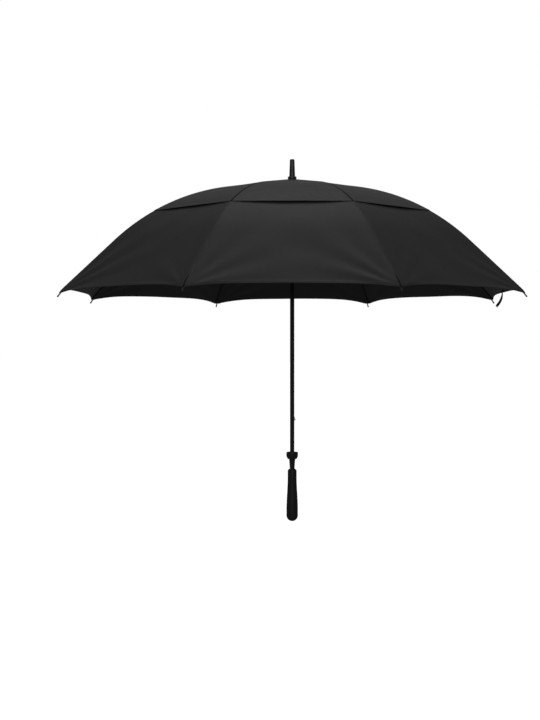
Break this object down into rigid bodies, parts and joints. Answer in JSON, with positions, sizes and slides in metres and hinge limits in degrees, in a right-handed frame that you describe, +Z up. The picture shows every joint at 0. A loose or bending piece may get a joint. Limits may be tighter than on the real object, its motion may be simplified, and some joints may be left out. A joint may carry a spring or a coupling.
{
  "type": "golf umbrella",
  "caption": "Vented double-canopy golf umbrella with a straight grip, whose ribs and stretchers fold as the runner slides down the shaft.",
  "frame": {"origin": "on the shaft's axis at the handle's bottom end", "axes": "+Z up the shaft to the ferrule, +X along the first rib; the closing strap and both catches lie between the first rib and the next one towards +Y"},
  "size_m": [1.3022, 1.3022, 1],
  "materials": {
    "shaft_tube": "satin black lacquer",
    "grip": "matt black soft-touch",
    "cup": "satin black moulded",
    "ferrule": "satin black moulded",
    "washer": "black",
    "moulding": "black moulded",
    "wire": "bright wire",
    "catch": "bright pressed steel",
    "strap": "black woven with a press stud",
    "rib": "black glass-fibre rod with black fork",
    "rib_tip": "dark grey moulded",
    "cloth": "black pongee"
  },
  "bodies": {
    "stem": {"shaft": "shaft_tube", "handle_grip": "grip", "tip_cup": "cup", "ferrule": "ferrule", "crown_washer": "washer", "crown_notch": "moulding", "crown_wire": "wire"},
    "runner": {"runner": "moulding", "runner_wire": "wire"},
    "top_catch": {"top_catch": "catch"},
    "bottom_catch": {"bottom_catch": "catch"},
    "inner_rib_1": {"rib_1": "rib", "vent_panel_1": "cloth"},
    "outer_rib_1": {"rib_rod_1": "rib", "rib_tip_1": "rib_tip", "canopy_panel_1": "cloth", "canopy_strap": "strap"},
    "stretcher_1": {"stretcher_1": "rib"},
    "inner_rib_2": {"rib_2": "rib", "vent_panel_2": "cloth"},
    "outer_rib_2": {"rib_rod_2": "rib", "rib_tip_2": "rib_tip", "canopy_panel_2": "cloth"},
    "stretcher_2": {"stretcher_2": "rib"},
    "inner_rib_3": {"rib_3": "rib", "vent_panel_3": "cloth"},
    "outer_rib_3": {"rib_rod_3": "rib", "rib_tip_3": "rib_tip", "canopy_panel_3": "cloth"},
    "stretcher_3": {"stretcher_3": "rib"},
    "inner_rib_4": {"rib_4": "rib", "vent_panel_4": "cloth"},
    "outer_rib_4": {"rib_rod_4": "rib", "rib_tip_4": "rib_tip", "canopy_panel_4": "cloth"},
    "stretcher_4": {"stretcher_4": "rib"},
    "inner_rib_5": {"rib_5": "rib", "vent_panel_5": "cloth"},
    "outer_rib_5": {"rib_rod_5": "rib", "rib_tip_5": "rib_tip", "canopy_panel_5": "cloth"},
    "stretcher_5": {"stretcher_5": "rib"},
    "inner_rib_6": {"rib_6": "rib", "vent_panel_6": "cloth"},
    "outer_rib_6": {"rib_rod_6": "rib", "rib_tip_6": "rib_tip", "canopy_panel_6": "cloth"},
    "stretcher_6": {"stretcher_6": "rib"},
    "inner_rib_7": {"rib_7": "rib", "vent_panel_7": "cloth"},
    "outer_rib_7": {"rib_rod_7": "rib", "rib_tip_7": "rib_tip", "canopy_panel_7": "cloth"},
    "stretcher_7": {"stretcher_7": "rib"},
    "inner_rib_8": {"rib_8": "rib", "vent_panel_8": "cloth"},
    "outer_rib_8": {"rib_rod_8": "rib", "rib_tip_8": "rib_tip", "canopy_panel_8": "cloth"},
    "stretcher_8": {"stretcher_8": "rib"}
  },
  "joints": [
    {"name": "runner_slide", "type": "slide", "parent": "stem", "child": "runner", "axis": [0, 0, -1], "range_m": [0, 0.3904], "deforming": ["vent_panel_1", "vent_panel_2", "vent_panel_3", "vent_panel_4", "vent_panel_5", "vent_panel_6", "vent_panel_7", "vent_panel_8", "canopy_panel_1", "canopy_panel_2", "canopy_panel_3", "canopy_panel_4", "canopy_panel_5", "canopy_panel_6", "canopy_panel_7", "canopy_panel_8", "canopy_strap"]},
    {"name": "rib_hinge_1", "type": "hinge", "parent": "stem", "child": "inner_rib_1", "pos_m": [0.01, 0, 0.923], "axis": [0, 1, 0], "range_deg": [0, 75.73]},
    {"name": "rib_bend_1", "type": "hinge", "parent": "inner_rib_1", "child": "outer_rib_1", "pos_m": [0.31945, 0, 0.87524], "axis": [0, 1, 0], "range_deg": [-20.76, 0]},
    {"name": "stretcher_hinge_1", "type": "hinge", "parent": "inner_rib_1", "child": "stretcher_1", "pos_m": [0.29161, 0, 0.87958], "axis": [0, 1, 0], "range_deg": [-128.47, 0]},
    {"name": "rib_hinge_2", "type": "hinge", "parent": "stem", "child": "inner_rib_2", "pos_m": [0.00707, 0.00707, 0.923], "axis": [-0.7071, 0.7071, 0], "range_deg": [0, 75.73]},
    {"name": "rib_bend_2", "type": "hinge", "parent": "inner_rib_2", "child": "outer_rib_2", "pos_m": [0.22589, 0.22589, 0.87524], "axis": [-0.7071, 0.7071, 0], "range_deg": [-20.76, 0]},
    {"name": "stretcher_hinge_2", "type": "hinge", "parent": "inner_rib_2", "child": "stretcher_2", "pos_m": [0.2062, 0.2062, 0.87958], "axis": [-0.7071, 0.7071, 0], "range_deg": [-128.47, 0]},
    {"name": "rib_hinge_3", "type": "hinge", "parent": "stem", "child": "inner_rib_3", "pos_m": [0, 0.01, 0.923], "axis": [-1, 0, 0], "range_deg": [0, 75.73]},
    {"name": "rib_bend_3", "type": "hinge", "parent": "inner_rib_3", "child": "outer_rib_3", "pos_m": [0, 0.31945, 0.87524], "axis": [-1, 0, 0], "range_deg": [-20.76, 0]},
    {"name": "stretcher_hinge_3", "type": "hinge", "parent": "inner_rib_3", "child": "stretcher_3", "pos_m": [0, 0.29161, 0.87958], "axis": [-1, 0, 0], "range_deg": [-128.47, 0]},
    {"name": "rib_hinge_4", "type": "hinge", "parent": "stem", "child": "inner_rib_4", "pos_m": [-0.00707, 0.00707, 0.923], "axis": [-0.7071, -0.7071, 0], "range_deg": [0, 75.73]},
    {"name": "rib_bend_4", "type": "hinge", "parent": "inner_rib_4", "child": "outer_rib_4", "pos_m": [-0.22589, 0.22589, 0.87524], "axis": [-0.7071, -0.7071, 0], "range_deg": [-20.76, 0]},
    {"name": "stretcher_hinge_4", "type": "hinge", "parent": "inner_rib_4", "child": "stretcher_4", "pos_m": [-0.2062, 0.2062, 0.87958], "axis": [-0.7071, -0.7071, 0], "range_deg": [-128.47, 0]},
    {"name": "rib_hinge_5", "type": "hinge", "parent": "stem", "child": "inner_rib_5", "pos_m": [-0.01, 0, 0.923], "axis": [0, -1, 0], "range_deg": [0, 75.73]},
    {"name": "rib_bend_5", "type": "hinge", "parent": "inner_rib_5", "child": "outer_rib_5", "pos_m": [-0.31945, 0, 0.87524], "axis": [0, -1, 0], "range_deg": [-20.76, 0]},
    {"name": "stretcher_hinge_5", "type": "hinge", "parent": "inner_rib_5", "child": "stretcher_5", "pos_m": [-0.29161, 0, 0.87958], "axis": [0, -1, 0], "range_deg": [-128.47, 0]},
    {"name": "rib_hinge_6", "type": "hinge", "parent": "stem", "child": "inner_rib_6", "pos_m": [-0.00707, -0.00707, 0.923], "axis": [0.7071, -0.7071, 0], "range_deg": [0, 75.73]},
    {"name": "rib_bend_6", "type": "hinge", "parent": "inner_rib_6", "child": "outer_rib_6", "pos_m": [-0.22589, -0.22589, 0.87524], "axis": [0.7071, -0.7071, 0], "range_deg": [-20.76, 0]},
    {"name": "stretcher_hinge_6", "type": "hinge", "parent": "inner_rib_6", "child": "stretcher_6", "pos_m": [-0.2062, -0.2062, 0.87958], "axis": [0.7071, -0.7071, 0], "range_deg": [-128.47, 0]},
    {"name": "rib_hinge_7", "type": "hinge", "parent": "stem", "child": "inner_rib_7", "pos_m": [0, -0.01, 0.923], "axis": [1, 0, 0], "range_deg": [0, 75.73]},
    {"name": "rib_bend_7", "type": "hinge", "parent": "inner_rib_7", "child": "outer_rib_7", "pos_m": [0, -0.31945, 0.87524], "axis": [1, 0, 0], "range_deg": [-20.76, 0]},
    {"name": "stretcher_hinge_7", "type": "hinge", "parent": "inner_rib_7", "child": "stretcher_7", "pos_m": [0, -0.29161, 0.87958], "axis": [1, 0, 0], "range_deg": [-128.47, 0]},
    {"name": "rib_hinge_8", "type": "hinge", "parent": "stem", "child": "inner_rib_8", "pos_m": [0.00707, -0.00707, 0.923], "axis": [0.7071, 0.7071, 0], "range_deg": [0, 75.73]},
    {"name": "rib_bend_8", "type": "hinge", "parent": "inner_rib_8", "child": "outer_rib_8", "pos_m": [0.22589, -0.22589, 0.87524], "axis": [0.7071, 0.7071, 0], "range_deg": [-20.76, 0]},
    {"name": "stretcher_hinge_8", "type": "hinge", "parent": "inner_rib_8", "child": "stretcher_8", "pos_m": [0.2062, -0.2062, 0.87958], "axis": [0.7071, 0.7071, 0], "range_deg": [-128.47, 0]},
    {"name": "top_catch_press", "type": "hinge", "parent": "stem", "child": "top_catch", "pos_m": [0.0036, 0.00149, 0.6655], "axis": [0.3827, -0.9239, 0], "range_deg": [0, 16], "stiffness_Nm_per_rad": 0.3, "springref_deg": -17.19},
    {"name": "bottom_catch_press", "type": "hinge", "parent": "stem", "child": "bottom_catch", "pos_m": [0.0036, 0.00149, 0.2945], "axis": [-0.3827, 0.9239, 0], "range_deg": [0, 16], "stiffness_Nm_per_rad": 0.3, "springref_deg": -17.19}
  ],
  "couplings": [
    {"joint": "rib_hinge_1", "follows": "runner_slide", "rad_per_m": 3.3855},
    {"joint": "rib_bend_1", "follows": "runner_slide", "rad_per_m": -0.92802},
    {"joint": "stretcher_hinge_1", "follows": "runner_slide", "rad_per_m": -5.7432},
    {"joint": "rib_hinge_2", "follows": "runner_slide", "rad_per_m": 3.3855},
    {"joint": "rib_bend_2", "follows": "runner_slide", "rad_per_m": -0.92802},
    {"joint": "stretcher_hinge_2", "follows": "runner_slide", "rad_per_m": -5.7432},
    {"joint": "rib_hinge_3", "follows": "runner_slide", "rad_per_m": 3.3855},
    {"joint": "rib_bend_3", "follows": "runner_slide", "rad_per_m": -0.92802},
    {"joint": "stretcher_hinge_3", "follows": "runner_slide", "rad_per_m": -5.7432},
    {"joint": "rib_hinge_4", "follows": "runner_slide", "rad_per_m": 3.3855},
    {"joint": "rib_bend_4", "follows": "runner_slide", "rad_per_m": -0.92802},
    {"joint": "stretcher_hinge_4", "follows": "runner_slide", "rad_per_m": -5.7432},
    {"joint": "rib_hinge_5", "follows": "runner_slide", "rad_per_m": 3.3855},
    {"joint": "rib_bend_5", "follows": "runner_slide", "rad_per_m": -0.92802},
    {"joint": "stretcher_hinge_5", "follows": "runner_slide", "rad_per_m": -5.7432},
    {"joint": "rib_hinge_6", "follows": "runner_slide", "rad_per_m": 3.3855},
    {"joint": "rib_bend_6", "follows": "runner_slide", "rad_per_m": -0.92802},
    {"joint": "stretcher_hinge_6", "follows": "runner_slide", "rad_per_m": -5.7432},
    {"joint": "rib_hinge_7", "follows": "runner_slide", "rad_per_m": 3.3855},
    {"joint": "rib_bend_7", "follows": "runner_slide", "rad_per_m": -0.92802},
    {"joint": "stretcher_hinge_7", "follows": "runner_slide", "rad_per_m": -5.7432},
    {"joint": "rib_hinge_8", "follows": "runner_slide", "rad_per_m": 3.3855},
    {"joint": "rib_bend_8", "follows": "runner_slide", "rad_per_m": -0.92802},
    {"joint": "stretcher_hinge_8", "follows": "runner_slide", "rad_per_m": -5.7432}
  ]
}
